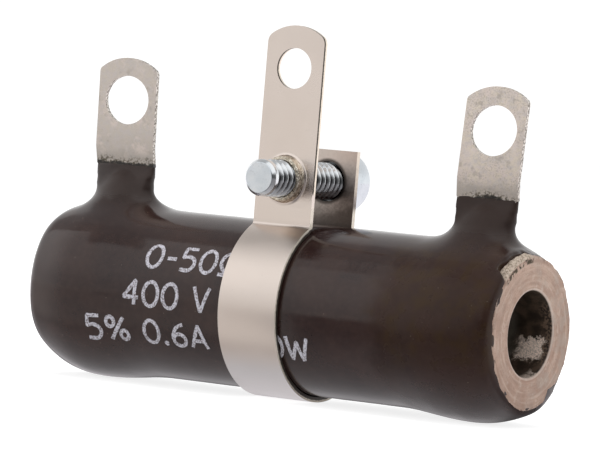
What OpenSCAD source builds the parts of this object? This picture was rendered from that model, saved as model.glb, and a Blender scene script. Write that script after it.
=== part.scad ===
// Adjustable tubular wire-wound power resistor. A hollow ceramic core carries a helical winding
// between two banded end terminals, under a fused coat of vitreous enamel. A clamped tap band slides
// along the coat and touches the winding through a bare strip at the back.
// Frame: the origin is the middle of the core's bore, X runs along the core and Z up along the lugs.

/* [Ceramic core] */
// Length of the core
core_length = 50.8; // [46:0.1:90]
// Outside diameter of the core
core_diameter = 14.3; // [12:0.1:20]
// Diameter of the mounting bore
bore_diameter = 7.94; // [5:0.02:9]
// Chamfer on the core's outer edges
core_chamfer = 0.3; // [0.1:0.05:0.6]

/* [Winding] */
// Diameter of the resistance wire
wire_diameter = 0.4; // [0.3:0.05:0.5]
// Distance from one turn of wire to the next
wire_pitch = 1; // [0.8:0.05:2]

/* [End terminals] */
// Thickness of the terminal's sheet
terminal_sheet = 0.5; // [0.4:0.05:0.7]
// Width of the terminal's band round the core
terminal_band_width = 6.4; // [4:0.1:7]
// Distance from the end of the core to the middle of a terminal
terminal_inset = 5; // [4.6:0.1:7]
// Distance of the lug's foot in front of the core's axis
lug_offset = 0.72; // [0.4:0.02:1]
// Inside radius of the bend between band and lug
lug_bend_radius = 0.3; // [0.2:0.05:0.5]
// Width of the lug
lug_width = 6.2; // [6:0.1:8]
// Width of the lug's root, which the enamel wraps
lug_root_width = 5.1; // [4:0.1:5.8]
// Height of the lug's hole above the enamel
lug_hole_rise = 9.55; // [8:0.05:14]
// Diameter of the lug's hole
lug_hole_diameter = 4.66; // [3:0.02:5]
// Distance from the lug's hole to the top of its crown
lug_crown_rise = 4.05; // [3.5:0.05:6]
// Radius of the lug's crown
lug_crown_radius = 4.6; // [4.4:0.1:7]
// Radius of the corners beside the crown
lug_corner_radius = 0.5; // [0.3:0.1:1.4]
// Forward step of the lug above the enamel
lug_step = 0.4; // [0.1:0.05:1]
// Height over which the lug steps forward
lug_step_height = 1.7; // [1:0.1:2.5]

/* [Enamel coat] */
// Thickness of the enamel over the wire
enamel_cover = 0.34; // [0.2:0.02:0.6]
// Rise of the end bulges above the middle of the body
bulge_rise = 0.57; // [0.2:0.01:1]
// Length over which the body swells into a bulge
bulge_run = 7.4; // [3:0.1:9]
// Thickness of the enamel where it ends on the core
end_lip = 0.25; // [0.1:0.05:0.5]
// Bare length of core beyond the enamel at each end
bare_end = 0.35; // [0.3:0.05:1]
// Thickness of the enamel that wraps a lug's root
neck_cover = 0.55; // [0.4:0.05:0.8]
// Height of the enamel up the lug's root
neck_height = 3.65; // [3:0.05:5]
// Rounding of the enamel's edge on the lug
neck_round = 0.3; // [0.1:0.05:0.4]
// Fillet from neck to body, along the core
neck_fillet_along = 1.4; // [1:0.1:2.5]
// Fillet from neck to body, round the core
neck_fillet_round = 3; // [1:0.1:3]
// Width of the bare strip over the winding
strip_width = 4.6; // [3:0.1:6]

/* [Tap band] */
// Width of the tap band
band_width = 6.3; // [5:0.1:8]
// Thickness of the tap band's sheet
band_sheet = 0.5; // [0.4:0.05:0.8]
// Running clearance between the tap band and the enamel
band_clearance = 0.08; // [0.05:0.01:0.2]
// Travel of the tap band each way from the middle
tap_travel = 9; // [4:0.5:9]
// Clear distance between the two ears
ear_gap = 6.7; // [5:0.1:9]
// Inside radius of the bend between strap and ear
ear_bend_radius = 0.4; // [0.25:0.05:1]
// Height of the front ear's hole above the enamel
ear_hole_rise = 14.35; // [12:0.05:20]
// Diameter of the front ear's hole
ear_hole_diameter = 3.8; // [2.5:0.1:4.5]
// Distance from the front ear's hole to the top of its crown
ear_crown_rise = 4; // [3.4:0.1:6]
// Radius of the front ear's crown
ear_crown_radius = 4.8; // [4.2:0.1:6]
// Radius of the corners beside the crown
ear_corner_radius = 1; // [0.3:0.1:1.4]
// Height of the rear ear above the enamel
rear_ear_rise = 7.05; // [6.4:0.05:9]
// Clearance between the contact dimple and the wire
dimple_clearance = 0.06; // [0.03:0.01:0.1]
// Outside radius of the contact dimple
dimple_radius = 2; // [1.5:0.1:2.5]

/* [Clamp screw] */
// Diameter of the screw's thread
screw_diameter = 3.5; // [2.5:0.1:4]
// Height of the screw above the enamel
screw_rise = 4.05; // [3.6:0.05:5]
// Length of screw that stands out of the front ear
screw_reach = 3.5; // [2:0.05:8]
// Radial clearance of the screw in the front ear's collar
thread_clearance = 0.05; // [0.03:0.01:0.1]
// Radial clearance of the screw in the rear ear
rear_clearance = 0.15; // [0.1:0.05:0.4]
// Height of the drawn collar on the front ear
collar_height = 0.9; // [0.4:0.05:1.2]
// Wall of the drawn collar
collar_wall = 0.3; // [0.25:0.05:0.6]
// Diameter of the screw's head
head_diameter = 5.74; // [5:0.02:7.2]
// Height of the screw's head
head_height = 3.2; // [2.6:0.1:4]
// Height of the head's straight side
head_side_height = 2.5; // [1.5:0.1:2.5]
// Width of the driver slot
slot_width = 1.1; // [0.6:0.1:1.5]
// Depth of the driver slot
slot_depth = 1.4; // [0.5:0.1:1.6]
// Clearance under the screw's head
head_clearance = 0.03; // [0.01:0.01:0.1]

/* [Hidden] */
$fn = 96;

// Places along the core
core_half = core_length / 2;
terminal_x = core_half - terminal_inset;
enamel_end = core_half - bare_end;
bulge_start = terminal_x - bulge_run;

// Radii, from the core outwards
core_radius = core_diameter / 2;
wire_radius = wire_diameter / 2;
wire_sides = 5;
turn_steps = 20;
coil_radius = (core_radius + wire_radius) / cos(180 / turn_steps);
coil_top = coil_radius + wire_radius;
terminal_top = core_radius + terminal_sheet;
enamel_radius = max(coil_top, terminal_top) + enamel_cover;
bulge_radius = enamel_radius + bulge_rise;
end_radius = core_radius + end_lip;
band_inner = enamel_radius + band_clearance;
band_outer = band_inner + band_sheet;

// Winding between the two terminal bands
winding_length = 2 * terminal_x - terminal_band_width - wire_diameter;
turn_count = round(winding_length / wire_pitch);
ring_count = turn_count * turn_steps + 1;

// Heights above the core's axis
lug_hole_z = bulge_radius + lug_hole_rise;
lug_top = lug_hole_z + lug_crown_rise;
neck_top = bulge_radius + neck_height;
lug_step_start = neck_top - neck_round;
ear_hole_z = enamel_radius + ear_hole_rise;
ear_top = ear_hole_z + ear_crown_rise;
rear_ear_top = enamel_radius + rear_ear_rise;
screw_z = enamel_radius + screw_rise;

// Places across the core
ear_inner = ear_gap / 2;
ear_outer = ear_inner + band_sheet;
screw_radius = screw_diameter / 2;
screw_tip = ear_outer + collar_height + screw_reach;
collar_bore = screw_radius + thread_clearance;
collar_radius = collar_bore + collar_wall;
strip_half = tap_travel + dimple_radius;
enamel_steps = 12;

// Small overlap, in degrees, by which a strap runs into its bends
lap = 1;

// Turns a shape drawn in Y and Z, with its depth along X
module along_x() {
    rotate([90, 0, 90]) children();
}

// Turns a shape drawn in X and Z, with its depth towards the front
module to_front() {
    rotate([90, 0, 0]) children();
}

// Sheet bent round the X axis, by angles that start at the back and pass over the top
module bent_sheet(inner, sheet, width, from, to) {
    along_x()
        rotate_extrude(angle = to - from, start = from)
            translate([inner, -width / 2]) square([sheet, width]);
}

// Height of the bend's centre where a strap of that middle radius turns up into an ear
function bend_height(strap, bend, face) = sqrt(pow(strap + bend, 2) - pow(face + bend, 2));

// Angle, from the back over the top, at which a strap leaves its circle for the front ear
function bend_angle(strap, bend, face) = 180 - acos((face + bend) / (strap + bend));

// Outward bend from a strap into a standing front ear
module ear_bend(inner, sheet, width, bend, middle) {
    strap = inner + sheet / 2;
    radius = bend + sheet / 2;
    turn = bend_angle(strap, radius, middle);
    translate([0, -middle - radius, bend_height(strap, radius, middle)])
        bent_sheet(bend, sheet, width, turn - 180, 0);
}

// Tab outline with a round crown and round corners
module crowned_outline(width, base, top, crown, corner) {
    crown_z = top - crown;
    side = width / 2 - corner;
    corner_z = crown_z + sqrt(pow(crown - corner, 2) - side * side);
    lean = asin(side / (crown - corner));
    reach = 2 * crown;
    translate([-width / 2, base]) square([width, corner_z - base]);
    for (s = [-1, 1])
        translate([s * side, corner_z]) circle(corner);
    intersection() {
        translate([0, crown_z]) circle(crown);
        translate([0, crown_z])
            polygon([[0, 0], [reach * sin(lean), reach * cos(lean)], [-reach * sin(lean), reach * cos(lean)]]);
    }
}

// Radius of the enamel at a distance from the middle of the body
function enamel_profile(x) =
    x <= bulge_start ? enamel_radius :
    x <= terminal_x ? enamel_radius + bulge_rise * (1 - cos(180 * (x - bulge_start) / bulge_run)) / 2 :
    bulge_radius - (bulge_radius - end_radius) * pow((x - terminal_x) / (enamel_end - terminal_x), 2);

module ceramic_core() {
    bore_radius = bore_diameter / 2;
    edge_radius = core_radius - core_chamfer;
    edge_x = core_half - core_chamfer;
    color("rosybrown")
        along_x()
            rotate_extrude()
                polygon([[bore_radius, -core_half], [edge_radius, -core_half], [core_radius, -edge_x],
                         [core_radius, edge_x], [edge_radius, core_half], [bore_radius, core_half]]);
}

// Point of the wire's surface, by ring along the helix and side round the wire
function wire_point(ring, side) =
    let (turn = 360 * ring / turn_steps)
    let (tilt = 360 * side / wire_sides)
    let (r = coil_radius - wire_radius * cos(tilt))
    [winding_length * (ring / (ring_count - 1) - 0.5) + wire_radius * sin(tilt), r * cos(turn), r * sin(turn)];

module resistance_winding() {
    points = [for (ring = [0:ring_count - 1], side = [0:wire_sides - 1]) wire_point(ring, side)];
    walls = [for (ring = [0:ring_count - 2], side = [0:wire_sides - 1])
        let (next = (side + 1) % wire_sides, a = ring * wire_sides, b = a + wire_sides)
        [a + side, b + side, b + next, a + next]];
    first_end = [for (side = [0:wire_sides - 1]) side];
    last_end = [for (side = [wire_sides - 1:-1:0]) (ring_count - 1) * wire_sides + side];
    color("darkgray") polyhedron(points, concat(walls, [first_end, last_end]));
}

// Lug with its root and forward step, before its hole is drilled
module lug_blank() {
    half = terminal_sheet / 2;
    back = -lug_offset + half;
    front = -lug_offset - half;
    foot = bend_height(core_radius + half, lug_bend_radius + half, lug_offset);
    step_end = lug_step_start + lug_step_height;
    shoulder = lug_step_start - (lug_width - lug_root_width) / 2;
    intersection() {
        along_x()
            linear_extrude(lug_width, center = true)
                polygon([[back, foot], [back, lug_step_start], [back - lug_step, step_end],
                         [back - lug_step, lug_top + lug_width], [front - lug_step, lug_top + lug_width],
                         [front - lug_step, step_end], [front, lug_step_start], [front, foot]]);
        to_front()
            linear_extrude(4 * (lug_offset + lug_step + terminal_sheet), center = true) {
                crowned_outline(lug_width, lug_step_start, lug_top, lug_crown_radius, lug_corner_radius);
                polygon([[-lug_root_width / 2, foot], [lug_root_width / 2, foot],
                         [lug_root_width / 2, shoulder], [lug_width / 2, lug_step_start],
                         [-lug_width / 2, lug_step_start], [-lug_root_width / 2, shoulder]]);
            }
    }
}

// End terminal: a band round the core, bent up into a drilled lug
module terminal(side) {
    half = terminal_sheet / 2;
    start = bend_angle(core_radius + half, lug_bend_radius + half, lug_offset);
    band_gap = 16;
    color("silver")
        translate([side * terminal_x, 0, 0])
            difference() {
                union() {
                    bent_sheet(core_radius, terminal_sheet, terminal_band_width, start - lap, start + 360 - band_gap);
                    ear_bend(core_radius, terminal_sheet, lug_root_width, lug_bend_radius, lug_offset);
                    lug_blank();
                }
                translate([0, 0, lug_hole_z])
                    to_front() cylinder(4 * lug_width, d = lug_hole_diameter, center = true);
            }
}

module left_terminal() {
    terminal(-1);
}

module right_terminal() {
    terminal(1);
}

// Point of a neck's surface, by level down the neck and step round the lug's root
neck_levels = 6;
quarter_steps = 5;
neck_steps = 4 * (quarter_steps + 1);
neck_corner = 0.9;
neck_sink = neck_cover / 11;
function neck_point(side, level, step) =
    let (quarter = floor(step / (quarter_steps + 1)))
    let (turn = 90 * (quarter + (step % (quarter_steps + 1)) / quarter_steps))
    let (sx = quarter == 0 || quarter == 3 ? 1 : -1, sy = quarter < 2 ? 1 : -1)
    let (half_x = lug_root_width / 2 + neck_cover, half_y = terminal_sheet / 2 + neck_cover)
    let (corner = neck_corner * half_y)
    let (shrink = level == 0 ? neck_round : 0)
    let (ox = cos(turn), oy = sin(turn))
    let (bx = sx * (half_x - corner) + (corner - shrink) * ox)
    let (by = sy * (half_y - corner) + (corner - shrink) * oy - lug_offset)
    let (outward = min(neck_fillet_along, enamel_end - terminal_x - half_x))
    let (along = side * ox > 0 ? outward : neck_fillet_along)
    let (fillet = along * ox * ox + neck_fillet_round * oy * oy)
    let (body = enamel_profile(terminal_x + side * (bx + fillet * ox)) - neck_sink)
    let (cy = by + fillet * oy)
    let (cz = sqrt(pow(body + fillet, 2) - cy * cy))
    let (last = atan2(cz, cy * oy))
    let (bend = last * max(0, min(level - 2, neck_levels)) / neck_levels)
    let (out = fillet * (1 - cos(bend)))
    let (z = level == 0 ? neck_top : level == 1 ? neck_top - neck_round :
        level <= neck_levels + 2 ? cz - fillet * sin(bend) : core_radius)
    [side * terminal_x + bx + out * ox, by + out * oy, z];

// Enamel drawn up round a lug's root, with a fillet into the body
module neck(side) {
    levels = neck_levels + 4;
    points = [for (level = [0:levels - 1], step = [0:neck_steps - 1]) neck_point(side, level, step)];
    walls = [for (level = [0:levels - 2], step = [0:neck_steps - 1])
        let (next = (step + 1) % neck_steps, a = level * neck_steps, b = a + neck_steps)
        [a + step, a + next, b + next, b + step]];
    top = [for (step = [neck_steps - 1:-1:0]) step];
    bottom = [for (step = [0:neck_steps - 1]) (levels - 1) * neck_steps + step];
    polyhedron(points, concat(walls, [top, bottom]));
}

module enamel_coating() {
    swell = [for (i = [0:enamel_steps]) bulge_start + bulge_run * i / enamel_steps];
    fall = [for (i = [1:enamel_steps]) terminal_x + (enamel_end - terminal_x) * i / enamel_steps];
    right = [for (x = concat(swell, fall)) [enamel_profile(x), x]];
    left = [for (i = [len(right) - 1:-1:0]) [right[i][0], -right[i][1]]];
    band_in = terminal_x - terminal_band_width / 2;
    band_out = terminal_x + terminal_band_width / 2;
    coil_bore = max(coil_top, terminal_top);
    color("#43383a")
        difference() {
            union() {
                along_x() rotate_extrude() polygon(concat(left, right, [[0, enamel_end], [0, -enamel_end]]));
                neck(-1);
                neck(1);
            }
            along_x()
                rotate_extrude()
                    polygon([[0, -core_half], [core_radius, -core_half], [core_radius, -band_out],
                             [terminal_top, -band_out], [terminal_top, -band_in], [coil_bore, -band_in],
                             [coil_bore, band_in], [terminal_top, band_in], [terminal_top, band_out],
                             [core_radius, band_out], [core_radius, core_half], [0, core_half]]);
            for (s = [-1, 1])
                translate([s * terminal_x, 0, 0]) {
                    ear_bend(core_radius, terminal_sheet, lug_root_width, lug_bend_radius, lug_offset);
                    lug_blank();
                }
            bare_strip();
        }
}

// Window along the back that bares the winding to the contact dimple
module bare_strip() {
    depth = enamel_radius;
    translate([0, 2 * depth, 0])
        to_front()
            linear_extrude(1.5 * depth) {
                translate([-strip_half, -strip_width / 2]) square([2 * strip_half, strip_width]);
                for (s = [-1, 1])
                    translate([s * strip_half, 0]) circle(d = strip_width);
            }
}

// Drawn collar with a flared base, on the front of the front ear
module collar() {
    flare = collar_wall / 2;
    edge = collar_wall / 3;
    translate([0, -ear_outer, screw_z])
        to_front()
            rotate_extrude()
                polygon([[0, -band_sheet / 2], [collar_radius + flare, -band_sheet / 2],
                         [collar_radius + flare, 0], [collar_radius + flare / 3, flare / 3],
                         [collar_radius, flare], [collar_radius, collar_height - edge],
                         [collar_radius - edge, collar_height], [0, collar_height]]);
}

// Inward dimple at the back of the strap
module dimple(radius) {
    translate([0, coil_top + dimple_clearance + dimple_radius, 0]) sphere(radius);
}

module tap_band() {
    middle = ear_inner + band_sheet / 2;
    strap = band_inner + band_sheet / 2;
    bend = ear_bend_radius + band_sheet / 2;
    turn = bend_angle(strap, bend, middle);
    foot = bend_height(strap, bend, middle);
    color("gainsboro")
        difference() {
            union() {
                bent_sheet(band_inner, band_sheet, band_width, turn - lap, 540 - turn + lap);
                ear_bend(band_inner, band_sheet, band_width, ear_bend_radius, middle);
                mirror([0, 1, 0]) ear_bend(band_inner, band_sheet, band_width, ear_bend_radius, middle);
                translate([0, -ear_inner, 0])
                    to_front()
                        linear_extrude(band_sheet)
                            crowned_outline(band_width, foot, ear_top, ear_crown_radius, ear_corner_radius);
                translate([-band_width / 2, ear_inner, foot])
                    cube([band_width, band_sheet, rear_ear_top - foot]);
                collar();
                intersection() {
                    dimple(dimple_radius);
                    translate([0, band_inner + band_sheet / 2, 0])
                        to_front() cylinder(2 * dimple_radius, r = dimple_radius);
                }
            }
            dimple(dimple_radius - band_sheet);
            translate([0, 0, ear_hole_z])
                to_front() cylinder(2 * ear_outer, d = ear_hole_diameter);
            translate([0, 0, screw_z]) {
                to_front() cylinder(2 * screw_tip, r = collar_bore);
                rotate([-90, 0, 0]) cylinder(2 * ear_outer, r = screw_radius + rear_clearance);
            }
        }
}

module clamp_screw() {
    head_radius = head_diameter / 2;
    edge = head_height / 20;
    dome = head_height - head_side_height;
    tip_bevel = screw_radius / 10;
    seat = ear_outer + head_clearance;
    crown = [for (a = [0:15:75]) [head_radius * cos(a), head_side_height + dome * sin(a)]];
    color("lightsteelblue")
        translate([0, seat, screw_z])
            rotate([-90, 0, 0])
                difference() {
                    rotate_extrude()
                        polygon(concat([[0, -screw_tip - seat], [screw_radius - tip_bevel, -screw_tip - seat],
                                        [screw_radius, tip_bevel - screw_tip - seat], [screw_radius, 0],
                                        [head_radius - edge, 0], [head_radius, edge]],
                                       crown, [[0, head_height]]));
                    translate([-slot_width / 2, -head_radius, head_height - slot_depth])
                        cube([slot_width, head_diameter, head_height]);
                }
}

ceramic_core();
resistance_winding();
left_terminal();
right_terminal();
enamel_coating();
tap_band();
clamp_screw();
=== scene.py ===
from functools import partial
from math import asin, atan2, cos, degrees, hypot, pi, radians, sin, sqrt, tan

import bmesh
import bpy
import numpy as np
from mathutils import Matrix, Vector, noise


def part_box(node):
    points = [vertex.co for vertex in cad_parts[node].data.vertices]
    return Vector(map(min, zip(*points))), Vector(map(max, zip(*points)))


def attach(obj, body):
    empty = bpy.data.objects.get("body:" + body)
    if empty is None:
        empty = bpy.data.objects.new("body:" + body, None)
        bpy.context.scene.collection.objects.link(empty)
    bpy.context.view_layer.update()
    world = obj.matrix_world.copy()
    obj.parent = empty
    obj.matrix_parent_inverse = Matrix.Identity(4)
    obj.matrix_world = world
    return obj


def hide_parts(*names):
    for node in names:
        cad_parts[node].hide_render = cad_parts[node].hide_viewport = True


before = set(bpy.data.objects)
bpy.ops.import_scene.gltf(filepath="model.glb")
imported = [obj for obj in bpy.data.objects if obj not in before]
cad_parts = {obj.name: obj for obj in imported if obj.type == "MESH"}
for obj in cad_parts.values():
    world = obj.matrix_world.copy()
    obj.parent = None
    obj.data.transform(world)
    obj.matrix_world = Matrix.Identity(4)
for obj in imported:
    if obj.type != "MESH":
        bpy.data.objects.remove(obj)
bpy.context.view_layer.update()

# Looks of an adjustable tubular wire-wound resistor. Lengths in the code are millimetres, and become metres
# when a mesh, a bump or a lamp is made. Angles round the core start at the back (+Y) and pass over the
# top (+Z).
MM = 0.001
TAU = 2 * pi


def span(node, axis):
    """Lowest and highest place of a solid along an axis, in millimetres."""
    low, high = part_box(node)
    return low[axis] / MM, high[axis] / MM


# Sizes shared with the solids
CORE_HALF = span("ceramic_core", 0)[1]
CORE_RADIUS = span("ceramic_core", 1)[1]
BORE_RADIUS = 3.97
BULGE_RADIUS = -span("enamel_coating", 2)[0]
ENAMEL_END = span("enamel_coating", 0)[1]
ENAMEL_RADIUS = 7.99
TERMINAL_X = sum(span("right_terminal", 0)) / 2
BULGE_START = TERMINAL_X - 7.4
LUG_Y = -0.72
LUG_HALF = 3.1
STRIP_HALF = 11
STRIP_WIDTH = 4.6
EAR_FRONT = -3.85
SCREW_Z = sum(span("clamp_screw", 2)) / 2
SCREW_TIP, SCREW_END = span("clamp_screw", 1)
SCREW_RADIUS = 1.75
HEAD_HEIGHT = 3.2
HEAD_SIDE = 2.5
HEAD_SEAT = SCREW_END - HEAD_HEIGHT
HEAD_RADIUS = span("clamp_screw", 2)[1] - SCREW_Z

# Ends of the coat, its upper edge on the lugs, and the heights between which a lug sets off from its band.
# A lug's stance is millimetres aside, degrees of lean and degrees of twist.
RIGHT_END = CORE_HALF - 0.03
LEFT_END = CORE_HALF + 0.42
LUG_LINE = 12.2
LUG_FOOT = 8.2
LUG_ROOT = 9.6
LUG_STANCE = {-1: (0, -1.6, 7.0), 1: (-0.3, 3.0, 4.5)}


def add_object(name, data):
    made = bpy.data.objects.new(name, data)
    bpy.context.scene.collection.objects.link(made)
    return made


# Camera

def make_camera():
    """Camera fitted to the photo."""
    azimuth, elevation, roll = radians(33.05), radians(1.54), radians(4.73)
    aside, above, distance = 0.28, 7.79, 407.8
    focal_pixels, picture_width, sensor = 4348.8, 600, 36
    data = bpy.data.cameras.new("camera")
    data.sensor_width = sensor
    data.lens = sensor * focal_pixels / picture_width
    data.clip_start = 0.01
    data.clip_end = 50
    camera = add_object("camera", data)
    axes = Matrix.Rotation(azimuth, 3, "Z") @ Matrix.Rotation(pi / 2 - elevation, 3, "X")
    axes = axes @ Matrix.Rotation(roll, 3, "Z")
    place = axes @ Vector((aside, above, distance)) * MM
    camera.matrix_world = Matrix.Translation(place) @ axes.to_4x4()
    bpy.context.scene.camera = camera


# Node helpers

def add_node(tree, kind, inputs=None, output=0, **settings):
    """Adds a node and returns one of its outputs. Inputs are amounts, other outputs or plain values."""
    made = tree.nodes.new("ShaderNode" + kind)
    for key, value in settings.items():
        setattr(made, key, value)
    for key, value in (inputs or {}).items():
        value = getattr(value, "socket", value)
        if isinstance(value, bpy.types.NodeSocket):
            tree.links.new(value, made.inputs[key])
        else:
            made.inputs[key].default_value = value
    return made.outputs[output] if made.outputs else None


class Amount:
    """A number that varies over a surface; each sum on it adds a node."""

    def __init__(self, tree, socket):
        self.tree = tree
        self.socket = socket

    def calculate(self, operation, *terms):
        return amount(self.tree, "Math", dict(enumerate(terms)), operation=operation)

    def __add__(self, other):
        return self.calculate("ADD", self, other)

    def __sub__(self, other):
        return self.calculate("SUBTRACT", self, other)

    def __rsub__(self, other):
        return self.calculate("SUBTRACT", other, self)

    def __mul__(self, other):
        return self.calculate("MULTIPLY", self, other)

    def __truediv__(self, other):
        return self.calculate("DIVIDE", self, other)

    def __abs__(self):
        return self.calculate("ABSOLUTE", self)

    def step(self, low, high, to_low=0, to_high=1):
        """Smooth step from to_low at low to to_high at high."""
        terms = dict(enumerate((self, low, high, to_low, to_high)))
        return amount(self.tree, "MapRange", terms, interpolation_type="SMOOTHSTEP")


def amount(tree, kind, inputs, output=0, **settings):
    return Amount(tree, add_node(tree, kind, inputs, output, **settings))


def components(tree, vector):
    """The three amounts in a vector."""
    return [Amount(tree, part) for part in add_node(tree, "SeparateXYZ", {0: vector}).node.outputs]


def largest(first, *others):
    for other in others:
        first = first.calculate("MAXIMUM", first, other)
    return first


def hypotenuse(first, second):
    squares = first * first + second * second
    return squares.calculate("SQRT", squares)


class Look:
    """A material in the making: layers of tone over a piece's own coordinates, in millimetres."""

    def __init__(self, name, **shader):
        self.material = bpy.data.materials.new(name)
        self.material.use_nodes = True
        self.tree = self.material.node_tree
        self.shader = self.tree.nodes["Principled BSDF"]
        for socket, value in shader.items():
            self.shader.inputs[socket].default_value = value
        metres = add_node(self.tree, "TexCoord", output="Object")
        self.place = self.scaled(metres, (1 / MM, 1 / MM, 1 / MM))
        self.axes = components(self.tree, self.place)
        self.tone = None

    def scaled(self, vector, scale):
        return add_node(self.tree, "VectorMath", {0: vector, 1: scale}, operation="MULTIPLY")

    def grain(self, size, detail=3, roughness=0.55, place=None):
        """Noise from 0 to 1 whose features are about that many millimetres."""
        inputs = {"Vector": place or self.place, "Scale": 1 / size, "Detail": detail, "Roughness": roughness}
        return amount(self.tree, "TexNoise", inputs, "Fac")

    def rag(self, size, height, detail=6, roughness=0.7):
        """Noise that wanders to both sides of 0, over a height in millimetres."""
        return (self.grain(size, detail, roughness) - 0.5) * height

    def cells(self, size):
        """Distance from the nearest of many points, in shares of their spacing."""
        inputs = {"Vector": self.place, "Scale": 1 / size}
        return amount(self.tree, "TexVoronoi", inputs, "Distance")

    def facing(self, axis):
        """How squarely the surface faces along an axis, from 0 to 1."""
        normal = add_node(self.tree, "NewGeometry", output="Normal")
        return abs(components(self.tree, normal)[axis])

    def mix(self, factor, first, second):
        """Colour between two, each of them an output or a plain colour."""
        first, second = ((*color, 1) if isinstance(color, tuple) else color for color in (first, second))
        return add_node(self.tree, "Mix", {0: factor, 6: first, 7: second}, 2, data_type="RGBA")

    def paint(self, factor, color):
        """Lays a colour over the tone so far."""
        self.tone = self.mix(factor, self.tone, color)

    def bump(self, *layers):
        """Stacks bumps, each given as height, depth in millimetres and strength."""
        inputs = {}
        for height, depth, strength in layers:
            inputs.update({"Height": height, "Distance": depth * MM, "Strength": strength})
            inputs["Normal"] = add_node(self.tree, "Bump", inputs)
        self.link(inputs["Normal"], "Normal")

    def link(self, value, socket):
        self.tree.links.new(getattr(value, "socket", value), self.shader.inputs[socket])

    def finish(self, roughness):
        """The material, with its tone and roughness in place."""
        self.link(self.tone, "Base Color")
        self.link(roughness, "Roughness")
        return self.material


# Looks

def enamel_look():
    """Glossy brown glaze, duller and ochre towards the right end, matt and crusted on the necks."""
    look = Look("brown_enamel", IOR=1.46)
    x, _, z = look.axes
    dull = (x + look.grain(4) * 5).step(14, 18) * z.step(8.5, 4.5, 0.4)
    necks = z.step(8.2, 9.6)
    look.tone = look.mix(look.grain(5).step(0.35, 0.68), (0.02, 0.0092, 0.0082), (0.031, 0.0146, 0.0115))
    look.paint(look.grain(0.6, 4).step(0.35, 0.7) * 0.3, (0.042, 0.023, 0.019))
    ochre = dull * look.grain(1.6, 5).step(0.4, 0.66, 0.2, 0.9)
    ochre = ochre * z.step(10, 7, 0.2) * z.step(-5, -1.5, 0.12)
    look.paint(ochre, (0.034, 0.0172, 0.0065))
    specks = look.cells(0.55).step(0.11, 0.05) * look.grain(2.2).step(0.57, 0.66)
    look.paint(specks, (0.15, 0.12, 0.095))
    look.paint(z.step(7.2, 9.2) * 0.7, (0.025, 0.0155, 0.0125))
    crumbs = look.mix(look.grain(0.2, 4).step(0.54, 0.64), (0.0125, 0.0075, 0.0055),
                      (0.066, 0.048, 0.034))
    look.paint((z + look.rag(0.6, 1.3)).step(11.75, 12.1) * 0.75, crumbs)
    left_end = x.step(-20.5, -24)
    low_right = dull * z.step(-3, -6.5)
    glance = dull.step(0, 1, 0.5, 0.22) + left_end * 0.4 + low_right * 0.24 - necks * 0.1
    look.link(glance, "Specular IOR Level")
    look.bump((look.grain(1.5, 2), 0.1, 0.07), (look.grain(0.3), 0.02, 0.13))
    sheen = look.grain(1.8, 4).step(0.3, 0.7, 0.09, 0.17)
    return look.finish(sheen + dull * 0.16 + necks * 0.24)


def paint_clay(look):
    """Clouded clay with painted shade low down and painted light high up, with fine dark specks and pale
    patches.
    """
    z = look.axes[2]
    look.tone = look.mix(look.grain(2.2, 4).step(0.3, 0.7), (0.402, 0.266, 0.205),
                         (0.545, 0.385, 0.308))
    # The two layers after this are painted light: painted shade low down, then painted light high up
    height = z + look.grain(2.5) * 5
    look.paint(height.step(8, -3, 0, 0.12), (0.345, 0.21, 0.16))
    look.paint(height.step(5, 9, 0, 0.6), (0.6, 0.435, 0.35))
    look.paint(look.grain(0.2, 5).step(0.54, 0.72) * 0.65, (0.25, 0.16, 0.12))
    look.paint(look.grain(0.75, 4).step(0.56, 0.7) * 0.75, (0.6, 0.475, 0.395))


def paint_turning(look, radius, rings):
    """Marks that run round an end: arcs, turned rings and a bright edge to the bore."""
    _, y, z = look.axes
    arc_length, arc_width = 1.6, 0.27
    polar = add_node(look.tree, "CombineXYZ", {
        0: radius / arc_width, 1: y * arc_length / radius, 2: z * arc_length / radius})
    arcs = look.grain(1, 4, 0.5, polar)
    look.paint(arcs.step(0.5, 0.72, 0, 0.45), (0.68, 0.545, 0.455))
    look.paint(arcs.step(0.5, 0.3, 0, 0.4), (0.34, 0.215, 0.165))
    look.paint(rings.step(0.3, 1, 0, 0.34) * look.grain(1.8).step(0.42, 0.62), (0.31, 0.205, 0.16))
    look.paint(radius.step(4.24, 4.16) * look.grain(0.5), (0.7, 0.6, 0.53))


def paint_rim(look, radius):
    """Burnt flecks and frayed clay along the rim, grey at the far side, and the scar of the chip."""
    x, y, z = look.axes
    burnt = radius.step(6.62, 6.95) * look.grain(0.55, 5).step(0.5, 0.58)
    burnt = burnt * look.grain(2.6).step(0.48, 0.58) * y.step(2, -1)
    look.paint(burnt, (0.055, 0.036, 0.026))
    frayed = (radius + look.grain(1.1, 5) * 0.9).step(7.1, 7.5)
    look.paint(frayed * look.grain(0.3, 4).step(0.42, 0.6) * 0.65, (0.17, 0.105, 0.08))
    greyed = look.grain(1.7, 4).step(0.44, 0.62) * y.step(-2, 4, 0.15, 0.55)
    look.paint(greyed, (0.44, 0.365, 0.315))
    upper_left = (z * 0.9 - y * 0.44) / radius
    scar = upper_left.step(0.91, 0.955) * radius.step(6.45, 6.6) * x.step(0, 1)
    broken = look.mix(look.grain(0.2, 5, 0.7).step(0.38, 0.6), (0.24, 0.19, 0.14),
                      (0.62, 0.51, 0.42))
    look.paint(scar * radius.step(6.95, 7.05), broken)
    sliver = scar * radius.step(6.98, 6.85) * look.grain(0.5, 5).step(0.44, 0.5)
    look.paint(sliver, (0.075, 0.056, 0.036))


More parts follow.
